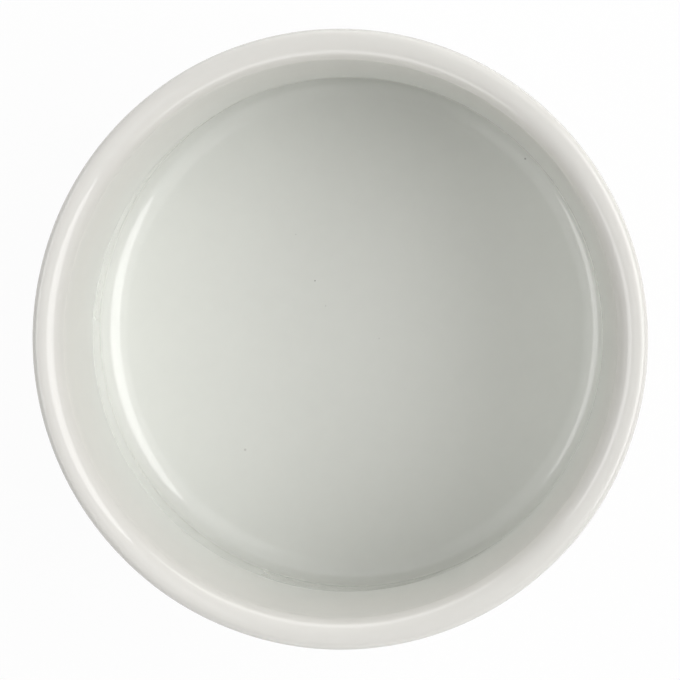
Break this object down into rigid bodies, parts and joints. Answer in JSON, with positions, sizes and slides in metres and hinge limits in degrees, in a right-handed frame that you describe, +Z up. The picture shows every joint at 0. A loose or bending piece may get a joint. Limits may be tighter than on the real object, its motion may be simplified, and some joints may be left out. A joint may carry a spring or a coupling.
{
  "type": "ramekin",
  "caption": "Small round porcelain ramekin with a rounded rim, an inside that flares above a nearly straight lower wall, and a bare foot ring.",
  "frame": {"origin": "centre of the foot ring's resting face", "axes": "+Z up along the dish's axis, towards its open mouth"},
  "size_m": [0.09, 0.09, 0.047],
  "materials": {
    "bare_porcelain": "matt, fired and unglazed, smooth to the touch",
    "clear_glaze_on_white": "glossy transparent glaze over white porcelain, slightly green where it is thick"
  },
  "bodies": {
    "root": {"porcelain_body": "bare_porcelain", "glaze_coat": "clear_glaze_on_white", "base_glaze": "clear_glaze_on_white"}
  },
  "joints": []
}
